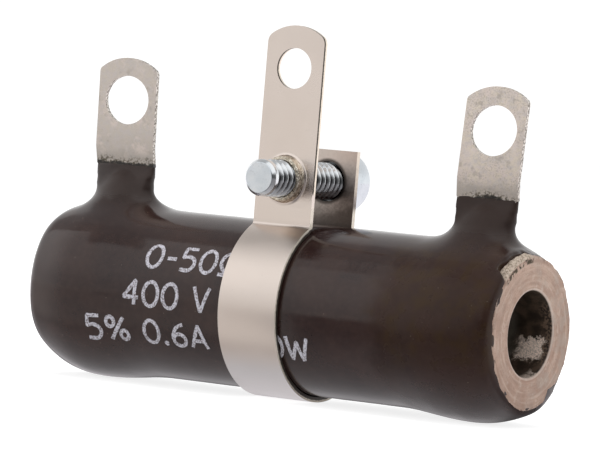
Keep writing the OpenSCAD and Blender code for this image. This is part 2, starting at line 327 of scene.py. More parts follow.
def bore_tone(look, depth):
    """Dark glaze of the bore, darkened further by painted shade; at the right end painted light makes a
    paler wall deep inside, with a bare patch and crumbs.
    """
    x, y, z = look.axes
    right = x.step(0, 1)
    ragged = look.rag(0.8, 3.4)
    mouth = depth + ragged
    # Dark glaze, partly painted shade
    tone = look.mix(look.grain(1.3, 5).step(0.42, 0.66), (0.026, 0.018, 0.013), (0.075, 0.05, 0.035))
    # Painted light: a paler wall deep inside the bore at the right end
    deep = depth + look.grain(1.2, 4) * 1.5
    tone = look.mix(deep.step(4.0, 6.0, 0, 0.8) * deep.step(9, 7) * right, tone, (0.17, 0.15, 0.12))
    patch = (abs(z + 1.4) + ragged).step(1.15, 0.85) * y.step(0.5, 1.2) * right
    patch = patch * mouth.step(0.55, 0.85) * mouth.step(3.9, 2.4)
    low_mark = (z + ragged).step(-3.55, -3.75) * x.step(24.0, 24.6) * 0.5
    flecks = look.grain(0.13, 4).step(0.36, 0.6, 0.5)
    tone = look.mix(largest(patch, low_mark) * flecks, tone, (0.98, 0.8, 0.68))
    crumbs = mouth.step(1.3, 0.5) * y.step(2.2, 3.4) * look.grain(0.25, 4).step(0.46, 0.56)
    return look.mix(crumbs, tone, (0.15, 0.1, 0.07))


def ceramic_look():
    """Fired clay with painted light high up and painted shade low down, faint turning rings on its ends, a
    worn rim, and a glazed bore with painted shade and painted light.
    """
    look = Look("core_ceramic", IOR=1.42)
    x, y, z = look.axes
    ring_spacing = 0.95
    radius = hypotenuse(y, z)
    depth = CORE_HALF - abs(x)
    wave = (radius + look.grain(3) * 0.5) * (TAU / ring_spacing)
    rings = wave.calculate("SINE", wave)
    paint_clay(look)
    paint_turning(look, radius, rings)
    paint_rim(look, radius)
    inside = radius.step(4.08, 4.02) * depth.step(0.05, 0.16)
    look.paint(inside, bore_tone(look, depth))
    look.bump((rings, 0.02, 0.2), (look.grain(0.35, 5), 0.09, 0.4), (look.grain(0.1), 0.03, 0.3))
    return look.finish(inside.step(0, 1, 0.8, 0.36))


def cut_edges(look):
    """1 on the cut edges of upright sheet, where the surface turns away from the front."""
    return look.facing(1).step(0.75, 0.45)


def terminal_look(name, bow, grit_and_glints, greyed):
    """Tinned sheet, greyed or gritty, with painted glints on its face and cut edges and a ragged film of
    enamel round its root; bow drops its edges.
    """
    look = Look(name)
    x, _, z = look.axes
    cloud = look.grain(2.4, 4).step(0.32, 0.68)
    look.tone = look.mix(cloud, (0.79, 0.688, 0.612), (0.92, 0.815, 0.728))
    tint = look.mix(look.grain(0.45).step(0.38, 0.62), (0.82, 0.735, 0.6), (0.84, 0.735, 0.72))
    look.paint(0.4, tint)
    low = (z + look.grain(1.5) * 2).step(17.5, 13.2)
    look.paint(low * (0.12 + 0.66 * greyed), (0.45, 0.41, 0.375))
    look.paint(greyed, (0.47, 0.437, 0.414))
    mottled = look.grain(0.9, 5, 0.65).step(0.44, 0.64)
    look.paint(mottled * (0.2 + 0.35 * grit_and_glints), (0.6, 0.575, 0.56))
    look.paint(look.grain(1.3, 4).step(0.5, 0.66, 0, 0.5), (0.85, 0.735, 0.68))
    root = z + look.grain(0.8, 4) * 1.2
    look.paint(root.step(14.3, 13.1, 0, 0.55), (0.36, 0.33, 0.3))
    blotch = look.grain(0.8, 5).step(0.55, 0.7)
    look.paint(blotch * 0.45, (0.47, 0.42, 0.375))
    pits = look.grain(0.14, 4).step(0.46, 0.7)
    pits = pits * look.grain(2.6, 2).step(0.36, 0.58, 0.25)
    look.paint(pits * grit_and_glints, (0.5, 0.44, 0.37))
    # Painted glints: bright specks that stand in for sparkle on the tinned face
    look.paint(look.cells(0.15).step(0.22, 0.08) * (0.7 * grit_and_glints), (0.97, 0.91, 0.84))
    # Cut edges: dark, with bright specks as painted glints
    glinting_edge = look.mix(look.grain(0.19).step(0.42, 0.6), (0.13, 0.11, 0.085), (0.86, 0.81, 0.75))
    look.paint(cut_edges(look) * 0.85, glinting_edge)
    aside = abs(x) - TERMINAL_X
    line = z + aside * aside * bow + look.rag(0.7, 1.2, roughness=0.68)
    sprinkle = line.step(LUG_LINE + 0.75, LUG_LINE - 0.05) * look.grain(0.2, 4).step(0.46, 0.58)
    look.paint(sprinkle * 0.9, (0.085, 0.072, 0.045))
    film = line.step(LUG_LINE + 0.02, LUG_LINE - 0.1)
    crust = look.mix(look.grain(0.22, 4).step(0.48, 0.6), (0.011, 0.008, 0.006), (0.055, 0.043, 0.032))
    look.paint(film, crust)
    look.link((1 - film) * 0.88, "Metallic")
    look.bump((look.grain(2.2, 2), 0.1, 0.12), (look.grain(0.25, 4), 0.03, 0.3))
    return look.finish((cloud + blotch).step(0, 2, 0.36, 0.52))


def paint_rear_ear(look, rear, round_screw):
    """Painted shade on the rear ear, mottled, stronger towards its foot and round its hole, with a few
    painted glints.
    """
    x, _, z = look.axes
    # Painted shade on the rear ear, darker towards the bottom and mottled
    height = z + look.grain(0.5, 5, 0.7) * 3
    rear_shade = rear * height.step(16.4, 10.8, 0.1, 0.62)
    look.paint(rear_shade, (0.095, 0.078, 0.07))
    mottle = look.grain(0.2, 5, 0.65).step(0.4, 0.66, 0, 0.5)
    look.paint(rear_shade * mottle, (0.075, 0.062, 0.055))
    # Painted glints
    look.paint(rear_shade * look.cells(0.26).step(0.18, 0.06, 0, 0.6), (0.62, 0.55, 0.48))
    # More painted shade towards the ear's foot
    slanting = z + look.grain(0.7, 5, 0.65) * 1.6 - x * 0.35
    look.paint(rear * slanting.step(10.8, 9.0, 0, 0.84), (0.085, 0.07, 0.062))
    # Painted shade round the screw's hole
    look.paint(rear * round_screw.step(2.3, 2.0, 0, 0.9), (0.07, 0.06, 0.054))


def nickel_look():
    """Warm plated band: a sheared front ear with a painted highlight on its cut edge, tarnished collar,
    painted shade and painted glints on the rear ear, a painted highlight along the strap's cut edges, and a
    cooler painted reflection low down.
    """
    look = Look("band_nickel")
    x, y, z = look.axes
    cloud = look.grain(6).step(0.33, 0.67)
    look.tone = look.mix(cloud, (0.735, 0.645, 0.585), (0.775, 0.685, 0.625))
    # Painted reflection of the floor: a cooler, greyer tone low on the band
    look.paint(z.step(-3.6, -6.2), (0.665, 0.645, 0.635))
    look.paint(look.grain(0.2).step(0.68, 0.76) * 0.3, (0.36, 0.31, 0.27))
    # Cut edges of the front ear: a painted highlight along the front rim, dark behind it
    sheared = cut_edges(look) * z.step(10.6, 11.0) * y.step(EAR_FRONT - 0.06, EAR_FRONT - 0.02)
    near_front = (y + look.rag(0.3, 0.16, 4, 0.55)).step(EAR_FRONT + 0.28, EAR_FRONT + 0.2)
    look.paint(sheared, look.mix(near_front, (0.9, 0.8, 0.68), (0.075, 0.062, 0.05)))
    round_screw = hypotenuse(x, z - SCREW_Z)
    collar = round_screw.step(2.24, 2.14) * y.step(EAR_FRONT - 0.03, EAR_FRONT - 0.12)
    tarnish = look.mix(look.grain(0.4, 4).step(0.36, 0.62), (0.34, 0.3, 0.215), (0.86, 0.79, 0.66))
    look.paint(collar * 0.8, tarnish)
    rear = y.step(1.8, 2.6) * z.step(7.55, 7.9)
    paint_rear_ear(look, rear, round_screw)
    # Cut edges of the strap: a painted highlight along the outer rim, dark below it
    side_edge = look.facing(0).step(0.55, 0.8) * z.step(10.0, 9.0)
    reach = hypotenuse(y, z) + look.grain(0.35, 4) * 0.2
    burr_highlight = look.mix(reach.step(8.42, 8.5), (0.07, 0.056, 0.046), (0.95, 0.86, 0.74))
    look.paint(side_edge, burr_highlight)
    look.link(side_edge.step(0, 1, 1, 0.35), "Metallic")
    brushed = look.grain(0.16, place=look.scaled(look.place, (0.06, 1, 1)))
    look.bump((look.grain(3.2, 1), 0.1, 0.03), (brushed, 0.006, 0.2),
              (collar * look.grain(0.3), 0.12, 0.8))
    rough = (brushed + cloud).step(0.5, 1.6, 0.18, 0.28)
    strap = z.step(8.4, 7.6)
    return look.finish(rough + strap * 0.12 + rear * 0.16)


def zinc_look():
    """Bright bluish plating, with painted shade in the thread's roots, weaker high up and low down, and
    where the shank meets the head.
    """
    look = Look("screw_zinc", Metallic=1)
    x, y, z = look.axes
    dark = (0.045, 0.045, 0.047)
    height = z - SCREW_Z
    radius = hypotenuse(x, height)
    look.tone = look.mix(look.grain(1.4, 4).step(0.33, 0.67), (0.72, 0.755, 0.785), (0.85, 0.87, 0.89))
    look.paint(look.grain(0.35, 4).step(0.6, 0.72) * 0.4, (0.34, 0.34, 0.35))
    # Painted shade in the thread's roots, weaker at the top and bottom of the screw
    threaded = y.step(SCREW_TIP + 0.6, SCREW_TIP + 1) * y.step(HEAD_SEAT + 0.1, HEAD_SEAT)
    sides = height.step(-1.2, -0.7, 0.3) * height.step(1.1, 0.4, 0.12)
    look.paint(radius.step(1.68, 1.5) * threaded * sides * 0.92, dark)
    ends = largest(y.step(SCREW_TIP + 0.1, SCREW_TIP + 0.04), y.step(HEAD_SEAT - 0.1, HEAD_SEAT))
    look.paint(ends * 0.45, (0.52, 0.575, 0.63))
    # Painted shade where the shank meets the head
    seat = y.step(HEAD_SEAT - 0.45, HEAD_SEAT - 0.3) * y.step(HEAD_SEAT + 0.2, HEAD_SEAT + 0.05)
    look.paint(seat * radius.step(2.4, 2.2, 0, 0.92), dark)
    look.bump((look.grain(0.2), 0.02, 0.2))
    return look.finish(look.grain(0.5, 4).step(0.3, 0.7, 0.1, 0.22))


def wire_look():
    look = Look("resistance_wire", Metallic=1)
    look.tone = look.mix(look.grain(0.9, 4).step(0.35, 0.65), (0.27, 0.245, 0.225), (0.5, 0.465, 0.43))
    look.bump((look.grain(0.12, 2), 0.01, 0.3))
    return look.finish(look.grain(0.3).step(0.3, 0.7, 0.22, 0.42))


def ink_look():
    """White ink, thin in specks."""
    look = Look("marking_ink", IOR=1.4)
    thick = look.grain(0.15).step(0.36, 0.56)
    look.tone = look.mix(thick, (0.17, 0.145, 0.15), (0.56, 0.545, 0.6))
    look.bump((thick, 0.01, 0.3))
    return look.finish(look.grain(0.5).step(0.3, 0.7, 0.45, 0.65))


# Mesh helpers

def make_piece(name, mesh, material, body, slot, *nodes):
    """Adds a mesh as a piece that rides on a body, in place of the solids named."""
    piece = add_object(name, mesh)
    mesh.name = name
    mesh.materials.clear()
    mesh.materials.append(material)
    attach(piece, body)
    if nodes:
        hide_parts(*nodes)


def shade_smooth(mesh, smooth=True):
    mesh.polygons.foreach_set("use_smooth", [smooth] * len(mesh.polygons))


def to_mesh(points, faces, smooth=True):
    """Mesh from points in millimetres."""
    mesh = bpy.data.meshes.new("mesh")
    mesh.from_pydata([tuple(c * MM for c in p) for p in points], [], faces)
    mesh.validate()
    shell = bmesh.new()
    shell.from_mesh(mesh)
    bmesh.ops.recalc_face_normals(shell, faces=shell.faces)
    shell.to_mesh(mesh)
    shell.free()
    shade_smooth(mesh, smooth)
    return mesh


def with_modifiers(mesh, *steps):
    """Mesh after modifiers, each given as its kind and its settings."""
    scratch = add_object("scratch", mesh)
    for kind, settings in steps:
        modifier = scratch.modifiers.new(kind, kind)
        for key, value in settings.items():
            setattr(modifier, key, value)
    view = bpy.context.evaluated_depsgraph_get()
    made = bpy.data.meshes.new_from_object(scratch.evaluated_get(view))
    bpy.data.objects.remove(scratch)
    return made


def rounded_edges(width, segments, sharpest):
    """Bevel of edges that turn by more than an angle in degrees."""
    return "BEVEL", dict(width=width * MM, segments=segments, limit_method="ANGLE",
                         angle_limit=radians(sharpest), use_clamp_overlap=True)


def flat_shading(mesh):
    """Smooth shading in which each face's weight follows its area, so that flats stay flat."""
    shade_smooth(mesh)
    return with_modifiers(mesh, ("WEIGHTED_NORMAL", dict(weight=100)))


def grid_faces(rows, columns, start=0, wrap_rows=False):
    """Quads of a grid that closes on itself across its columns, and along its rows if asked."""
    faces = []
    for i in range(rows if wrap_rows else rows - 1):
        for j in range(columns):
            a, b = start + i * columns, start + (i + 1) % rows * columns
            k = (j + 1) % columns
            faces.append((a + j, a + k, b + k, b + j))
    return faces


def tube_faces(rows, columns, start=0):
    """Quads of a grid that closes on itself across its columns, with a face over each open end."""
    last = start + (rows - 1) * columns
    return grid_faces(rows, columns, start) + [tuple(range(at, at + columns)) for at in (start, last)]


def angles(count):
    return [TAU * i / count for i in range(count)]


def turned(x, r, turn):
    """Point at an angle round the core."""
    return x, r * cos(turn), r * sin(turn)


def screw_point(r, y, turn):
    """Point at an angle round the screw."""
    return r * cos(turn), y, SCREW_Z + r * sin(turn)


def ripple(*place):
    """Smooth noise from -1 to 1."""
    return noise.noise(Vector(place))


def ripple_round(turn, count, layer):
    """Smooth noise from -1 to 1 that closes on itself round a circle; count sets how fine it is."""
    return ripple(count * cos(turn), count * sin(turn), layer)


def ease(value, low, high):
    t = min(1, max(0, (value - low) / (high - low)))
    return t * t * (3 - 2 * t)


def near_angle(turn, centre, width):
    """1 at an angle in degrees, falling to 0 a width away."""
    away = abs((degrees(turn) - centre + 180) % 360 - 180)
    return 1 - ease(away, 0, width)


# Enamel coat

# Bare rim of the right end: angles in degrees, and the radius that the coat reaches there
RIM_ANGLES = (0, 15, 31, 44, 60, 78, 97, 110, 144, 157, 180, 209, 237, 270, 298, 309, 320, 344)
RIM_RADII = (7.1, 7.14, 6.94, 7.12, 6.98, 7.02, 7.14, 7.2, 7.22, 7.12, 6.85, 6.62, 6.64, 6.98, 7.04, 6.42,
             7.02, 7.12)

# Lips at the two ends: a radius, and hollows in it by angle and width in degrees and depth
RIGHT_LIP = 7.72
RIGHT_HOLLOWS = ((82, 45, 1), (255, 62, 0.55), (45, 60, 0.3), (0, 60, 0.3))
LEFT_LIP = 7.95
LEFT_HOLLOWS = ((145, 40, -0.25), (98, 45, 0.6), (246, 42, 0.75))

# Rounds of smoothing where the necks meet the body: lowest and highest place, reach from the lug's middle
# inward and outward along the core, and passes
NECK_ROUNDS = ((4.2, 10.8, 7.0, 3.8, 14), (4.6, 9.9, 6.6, 3.4, 40), (5.4, 9.7, 6.0, 3.0, 50),
               (6.2, 9.5, 5.4, 2.6, 60))


def right_rim(turn):
    """Radius on the right end face at which the coat gives way to bare ceramic."""
    rough = np.interp(degrees(turn), RIM_ANGLES, RIM_RADII, period=360)
    teeth = 0.1 * ripple_round(turn, 11, 5.2) * (0.45 + near_angle(turn, 185, 80))
    return float(rough) + teeth + 0.05 * ripple_round(turn, 26, 2.4)


def chipped(turn):
    """How far a chip at the top of the right end bares the core."""
    return (0.85 + 0.25 * ripple_round(turn, 7, 8.1)) * ease(near_angle(turn, 115, 30), 0.08, 0.45)


def stops_short(turn):
    """How far the coat stops short of the right end: at the chip, and a little all along the back."""
    worn = 0.4 + 0.35 * near_angle(turn, 72, 40) + 0.12 * ripple_round(turn, 9, 3.7)
    return max(chipped(turn), worn * ease(near_angle(turn, 25, 95), 0.05, 0.3))


def enamel_profile(x):
    """Radius of the coat up to its ends, without what is ragged there."""
    x = abs(x)
    if x <= BULGE_START:
        return ENAMEL_RADIUS
    if x <= TERMINAL_X:
        part = (x - BULGE_START) / (TERMINAL_X - BULGE_START)
        return ENAMEL_RADIUS + (BULGE_RADIUS - ENAMEL_RADIUS) * (1 - cos(pi * part)) / 2
    part = (x - TERMINAL_X) / (ENAMEL_END - TERMINAL_X)
    return BULGE_RADIUS - 1.16 * part * part


def lip_radius(turn, lip, hollows):
    return lip - sum(depth * near_angle(turn, angle, width) for angle, width, depth in hollows)


def end_radius(x, end, rounding, lip, rim):
    """Radius of the coat past a lug: it falls to a lip, and rounds over to its rim on the end face."""
    part = (x - TERMINAL_X) / (end - TERMINAL_X)
    side = max(BULGE_RADIUS - (BULGE_RADIUS - lip) * part ** 2.2, CORE_RADIUS + 0.1)
    over = max(0, 1 - (end - x) / rounding)
    return rim + (side - rim) * sqrt(1 - over * over)


def coat_radius(x, turn):
    """Radius of the coat anywhere; in the strip at the back it lies low, to bare the turns of wire."""
    if x > TERMINAL_X:
        return end_radius(x, RIGHT_END, 0.5, lip_radius(turn, RIGHT_LIP, RIGHT_HOLLOWS), right_rim(turn))
    if x < -TERMINAL_X:
        return end_radius(-x, LEFT_END, 1.3, lip_radius(turn, LEFT_LIP, LEFT_HOLLOWS), 7.0)
    across = ENAMEL_RADIUS * sin(turn)
    if cos(turn) > 0:
        past = max(0, abs(x) - STRIP_HALF)
        wobble = 0.12 * ripple(x * 0.9, across * 0.9, 3.3)
        if hypot(past, across) < STRIP_WIDTH / 2 + wobble - 0.12:
            return CORE_RADIUS + 0.29
    return enamel_profile(x)


def sleeve():
    """Closed sleeve of enamel, before its necks are joined to it."""
    columns, rounds = 300, 320
    outer, inner = [], []
    for at in np.linspace(-LEFT_END, RIGHT_END, columns):
        sink = ease(abs(at), CORE_HALF - 2.2, CORE_HALF - 0.5)
        for turn in angles(rounds):
            x = min(at, RIGHT_END - stops_short(turn))
            outer.append(turned(x, coat_radius(x, turn), turn))
            inner.append(turned(x, CORE_RADIUS - 0.13 - 1.1 * sink, turn))
    for i in range(columns - 1, -1, -1):
        outer += inner[i * rounds:(i + 1) * rounds]
    return outer, grid_faces(2 * columns, rounds, wrap_rows=True)


def lug_place(side, x, y, z):
    """Where a point of an upright lug lies once the lug is set aside, leaned and twisted."""
    aside, lean, twist = LUG_STANCE[side]
    lean_start = 11.4
    pivot_x, pivot_y = side * TERMINAL_X, LUG_Y + 0.4
    angle = radians(twist) * ease(z, LUG_ROOT, 12.4)
    dx, dy = x - pivot_x, y - pivot_y
    lean_out = tan(radians(lean)) * max(0, z - lean_start) * ease(z, lean_start, 13.0)
    shift = aside * ease(z, LUG_FOOT, LUG_ROOT) + lean_out
    return (pivot_x + dx * cos(angle) - dy * sin(angle) + shift,
            pivot_y + dx * sin(angle) + dy * cos(angle), z)


def rounded_outline(half_x, half_y, corner, steps):
    """Points of a rounded rectangle, each with its outward direction; steps are those of one corner."""
    outline = []
    for quarter, (sx, sy) in enumerate(((1, 1), (-1, 1), (-1, -1), (1, -1))):
        x, y = sx * (half_x - corner), sy * (half_y - corner)
        for step in range(steps):
            turn = radians(90 * (quarter + step / (steps - 1)))
            ox, oy = cos(turn), sin(turn)
            outline.append((x + corner * ox, y + corner * oy, ox, oy))
    return outline


def neck(side):
    """Enamel drawn up a lug's root, thin at the top and filleted into the body below."""
    half_x, top, thin = LUG_HALF + 0.08, LUG_LINE - 0.2, 0.36
    inward, round_core = 2.6 if side < 0 else 2.0, 2.4
    outward = min(0.9, ENAMEL_END - TERMINAL_X - half_x)
    drops, levels = 8, 10
    outline = rounded_outline(half_x, 0.8, 0.6, 12)
    points = []
    for row in range(drops + levels + 1):
        for bx, by, ox, oy in outline:
            fillet = (outward if side * ox > 0 else inward) * ox * ox + round_core * oy * oy
            body = enamel_profile(TERMINAL_X + side * (bx + fillet * ox)) - 0.05
            cy = by + LUG_Y + fillet * oy
            cz = sqrt((body + fillet) ** 2 - cy * cy)
            last = atan2(cz, cy * oy)
            out = 0
            if row < drops:
                z = top + (cz - top) * row / drops
                by *= thin + (1 - thin) * ease(top - z, 0, top - cz)
            elif row < drops + levels:
                bend = last * (row - drops) / (levels - 1)
                out = fillet * (1 - cos(bend))
                z = cz - fillet * sin(bend)
            else:
                out, z = fillet * (1 - cos(last)), CORE_RADIUS
            x, y = side * TERMINAL_X + bx + out * ox, LUG_Y + by + out * oy
            points.append((*lug_place(side, x, y, max(z, LUG_ROOT))[:2], z))
    return points, tube_faces(drops + levels + 1, len(outline))


def web(side):
    """Enamel that slopes from the front of a lug's root, where it thins out, to the front of the body."""
    columns, levels, fillet, face, thinning = 17, 16, 8.0, 1.35, 0.6
    top, inside, body = LUG_LINE - 0.35, CORE_RADIUS + 0.15, BULGE_RADIUS - 0.04
    height = sqrt((body + fillet) ** 2 - (face + fillet) ** 2)
    first = asin((height - top) / fillet)
    last = atan2(height, face + fillet)
    points = []
    for i in range(levels + 1):
        low = i / levels
        bend = first + (last - first) * i / levels
        y = fillet * cos(bend) - face - fillet + thinning * (1 - ease(low, 0, 0.25))
        z = height - fillet * sin(bend)
        turn, reach = atan2(z, y), hypot(y, z)
        half = LUG_HALF - 0.15 + 3.2 * low ** 2
        ends = [min(half, 4.0) if sign == side else half for sign in (-1, 1)]
        for j in range(columns):
            share = sin(pi * (j / (columns - 1) - 0.5))
            a = share * ends[share > 0]
            skin = enamel_profile(TERMINAL_X + side * a) - 0.12
            arch = (1 - low) * sqrt(max(0, 1 - share * share))
            arch += low * cos(pi / 2 * share) ** 2
            r = skin + max(0, reach - skin) * arch
            at, front, up = turned(side * TERMINAL_X + a, r, turn)
            points.append((*lug_place(side, at, front, max(up, LUG_ROOT))[:2], up))
        points += [turned(side * TERMINAL_X + a, inside, turn) for a in (ends[1], -ends[0])]
    return points, tube_faces(levels + 1, columns + 2)


def coat_wave(p):
    """Outward departure of the coat from its plain form."""
    calm = 0.35 + 0.65 * ease(abs(p.x), 13, 16)
    return calm * (0.03 * ripple(p.x * 0.16, p.y * 0.2, p.z * 0.2) + 0.014 * ripple(*(p * 0.55)))


def open_inside(shell):
    """Removes the coat's inner wall, which the core hides, and closes the two ends of the gap."""
    hidden_radius, hidden_half = 7.2 * MM, 22.5 * MM
    hidden = [f for f in shell.faces if all(
        hypot(v.co.y, v.co.z) < hidden_radius and abs(v.co.x) < hidden_half for v in f.verts)]
    bmesh.ops.delete(shell, geom=hidden, context="FACES")
    bmesh.ops.bridge_loops(shell, edges=[e for e in shell.edges if e.is_boundary])


def relax_necks(shell):
    """Smooths the coat where the necks run into the body, more than elsewhere."""
    for low, high, inward, outward, passes in NECK_ROUNDS:
        soft = [v for v in shell.verts
                if low < v.co.z / MM < high and -inward < abs(v.co.x / MM) - TERMINAL_X < outward]
        for _ in range(passes):
            bmesh.ops.smooth_vert(shell, verts=soft, factor=0.6, use_axis_x=True, use_axis_y=True,
                                  use_axis_z=True)


def make_enamel():
    wave_radius, wave_top = 7.3, 11
    points, faces = sleeve()
    for make in (neck, web):
        for side in (-1, 1):
            more, sides = make(side)
            faces += [tuple(i + len(points) for i in f) for f in sides]
            points += more
    mesh = with_modifiers(to_mesh(points, faces),
                          ("REMESH", dict(mode="VOXEL", voxel_size=0.19 * MM)),
                          ("SMOOTH", dict(factor=0.5, iterations=3)))
    shell = bmesh.new()
    shell.from_mesh(mesh)
    open_inside(shell)
    relax_necks(shell)
    shell.normal_update()
    for v in shell.verts:
        p = v.co / MM
        if hypot(p.y, p.z) >= wave_radius and p.z <= wave_top:
            v.co += v.normal * (coat_wave(p) * MM)
    bmesh.ops.recalc_face_normals(shell, faces=shell.faces)
    shell.to_mesh(mesh)
    shell.free()
    shade_smooth(mesh)
    make_piece("enamel_coat", mesh, enamel_look(), "resistor_body", "brown_enamel", "enamel_coating")


# Marking on the coat: plain values in white ink

def ring_stroke(cx, cy, rx, ry, start=0, sweep=360, steps=24):
    turns = [radians(start + sweep * i / steps) for i in range(steps + 1)]
    return [(cx + rx * cos(a), cy + ry * sin(a)) for a in turns]


def curve_stroke(*knots, steps=6):
    """Smooth stroke through its knots."""
    padded = [knots[0], *knots, knots[-1]]
    points = []
    for a, b, c, d in zip(padded, padded[1:], padded[2:], padded[3:]):
        for i in range(steps):
            t = i / steps
            points.append(tuple(
                0.5 * (2 * q + (r - p) * t + (2 * p - 5 * q + 4 * r - s) * t * t
                       + (3 * q - p - 3 * r + s) * t ** 3)
                for p, q, r, s in zip(a, b, c, d)))
    return points + [knots[-1]]


# Each sign's strokes in a box one high, and the box's width
SIGNS = {
    "0": ([ring_stroke(0.4, 0.5, 0.36, 0.5)], 0.84),
    "2": ([curve_stroke((0.08, 0.78), (0.2, 0.96), (0.44, 1), (0.66, 0.9), (0.68, 0.68), (0.5, 0.42))
           + [(0.06, 0), (0.74, 0)]], 0.84),
    "4": ([[(0.56, 0), (0.56, 1), (0.04, 0.3), (0.76, 0.3)]], 0.84),
    "5": ([[(0.68, 1), (0.14, 1), (0.1, 0.56)]
           + curve_stroke((0.1, 0.56), (0.38, 0.63), (0.66, 0.5), (0.7, 0.25), (0.5, 0.03), (0.08, 0.04))],
          0.84),
    "6": ([curve_stroke((0.62, 0.97), (0.3, 0.82), (0.1, 0.46), (0.1, 0.22))
           + ring_stroke(0.4, 0.27, 0.3, 0.27, 170, 360)], 0.84),
    ".": ([ring_stroke(0.12, 0.05, 0.05, 0.05)], 0.3),
    "-": ([[(0.08, 0.46), (0.52, 0.46)]], 0.6),
    " ": ([], 0.45),
    "%": ([ring_stroke(0.22, 0.78, 0.18, 0.21), ring_stroke(0.84, 0.22, 0.18, 0.21),
           [(0.86, 1), (0.2, 0)]], 1.12),
    "ohm": ([[(0.04, 0), (0.34, 0)] + ring_stroke(0.5, 0.56, 0.43, 0.44, 248, -316)
             + [(0.66, 0), (0.96, 0)]], 1.06),
    "A": ([[(0.02, 0), (0.4, 1), (0.78, 0)], [(0.16, 0.32), (0.64, 0.32)]], 0.88),
    "V": ([[(0.02, 1), (0.4, 0), (0.78, 1)]], 0.88),
    "W": ([[(0, 1), (0.24, 0), (0.5, 0.8), (0.76, 0), (1, 1)]], 1.1),
}

# Rows of signs, by where they start along the core and round it
ROWS = (((-12.6, 2.75), ("0", "-", "5", "0", "ohm")),
        ((-14.4, -0.95), ("4", "0", "0", " ", "V")),
        ((-18.6, -4.6), ("5", "%", " ", "0", ".", "6", "A")),
        ((-0.5, -4.6), ("2", "0", "W")))


def even_steps(stroke, spacing):
    """Points along a stroke at an even spacing."""
    knots = np.array(stroke)
    lengths = np.concatenate([[0], np.cumsum(np.hypot(*np.diff(knots, axis=0).T))])
    count = max(2, int(lengths[-1] / spacing))
    places = np.linspace(0, lengths[-1], count + 1)
    return np.stack([np.interp(places, lengths, knots[:, k]) for k in (0, 1)], axis=1)


def ink_stroke(path):
    """Points of a raised line of ink along a path on the coat, four to a step."""
    width, lift, sink = 0.36, 0.03, 0.06
    ahead = np.gradient(path, axis=0)
    ahead /= np.maximum(np.hypot(*ahead.T)[:, None], 1e-9)
    points = []
    for (a, s), (da, ds) in zip(path, ahead):
        half = width / 2 * (1 + 0.22 * ripple(a * 2.3, s * 2.3, 4.0))
        for side, rise in ((1, lift), (-1, lift), (-1, -sink), (1, -sink)):
            at = a - side * half * ds
            turn = pi - (s + side * half * da) / ENAMEL_RADIUS
            skin = enamel_profile(at)
            skin += coat_wave(Vector(turned(at, skin, turn)))
            points.append(turned(at, skin + rise, turn))
    return points


def make_marking():
    height, gap, spacing = 2.3, 0.28, 0.1
    points, faces = [], []
    for (x, low), signs in ROWS:
        for sign in signs:
            strokes, wide = SIGNS[sign]
            for stroke in strokes:
                path = even_steps([(x + a * height, low + c * height) for a, c in stroke], spacing)
                faces += tube_faces(len(path), 4, len(points))
                points += ink_stroke(path)
            x += wide * height + gap
    mesh = to_mesh(points, faces, smooth=False)
    make_piece("value_marking", mesh, ink_look(), "resistor_body", None)


# Ceramic core

def end_place(side, share, turn):
    """Place on an end of the core: from the bore's edge at 0 over the face to the rim at 1."""
    cy, cz = cos(turn), sin(turn)
    half = CORE_HALF if side > 0 else LEFT_END - 0.1
    rim = min(right_rim(turn) - 0.02, CORE_RADIUS - 0.08) if side > 0 else CORE_RADIUS - 0.5
    rim += 0.06 * ripple(9 * cy, 9 * cz, 3.0 * side) + 0.07 * ripple(4 * cy, 4 * cz, 1.7 * side)
    r = BORE_RADIUS + 0.2 + (rim - BORE_RADIUS - 0.2) * share
    ring = sin(TAU * (r + 0.2 * ripple(1.5 * cy, 1.5 * cz, 7.0)) / 0.62)
    pits = max(0, ripple(r * cy * 1.4, r * cz * 1.4, 3.0 * side) - 0.1)
    crumbled = ease(share, 0.78, 1) * max(0, ripple(5 * cy, 5 * cz, 6.0 * side) + 0.25)
    return side * (half - 0.006 * (1 + ring) - 0.05 * pits - 0.07 * crumbled), r


def flank_place(side, depth, turn):
    """Place on the core's broken outer edge and on the cylinder behind it."""
    x, r = end_place(side, 1, turn)
    r += (CORE_RADIUS - r) * min(1, depth / 0.45)
    if side > 0:
        bare = ease(chipped(turn), 0.2, 0.8) * (1 - ease(depth, 0.7, 1.3))
        r += bare * (0.22 + 0.16 * ripple_round(turn, 12, depth * 3)) * ease(depth, 0.05, 0.3)
    return x - side * depth, r


def bore_place(x, turn):
    return x, BORE_RADIUS + 0.02 * ripple(x * 0.3, 2 * cos(turn), 2 * sin(turn))


def make_core():
    rounds, edge_radius = 288, BORE_RADIUS + 0.07
    face = np.linspace(0, 1, 24)
    right_depths = (0.06, 0.14, 0.24, 0.36, 0.5, 0.65, 0.8, 1, 1.3, 1.8)
    left_depths = (1.8, 1, 0.5, 0.25, 0.1)
    points = []

    def add_rings(place, steps):
        for step in steps:
            points.extend(turned(*place(step, turn), turn) for turn in angles(rounds))

    add_rings(bore_place, np.linspace(0.3 - LEFT_END, CORE_HALF - 0.2, 30))
    add_rings(lambda x, turn: (x, edge_radius), [CORE_HALF - 0.06])
    add_rings(partial(end_place, 1), face)
    add_rings(partial(flank_place, 1), right_depths)
    add_rings(lambda x, turn: (x, CORE_RADIUS), np.linspace(CORE_HALF - 2.6, 2.6 - LEFT_END, 12))
    add_rings(partial(flank_place, -1), left_depths)
    add_rings(partial(end_place, -1), face[::-1])
    add_rings(lambda x, turn: (x, edge_radius), [0.16 - LEFT_END])
    mesh = to_mesh(points, grid_faces(len(points) // rounds, rounds, wrap_rows=True))
    mesh.set_sharp_from_angle(angle=radians(45))
    make_piece("ceramic_tube", mesh, ceramic_look(), "resistor_body", "core_ceramic", "ceramic_core")


# Winding

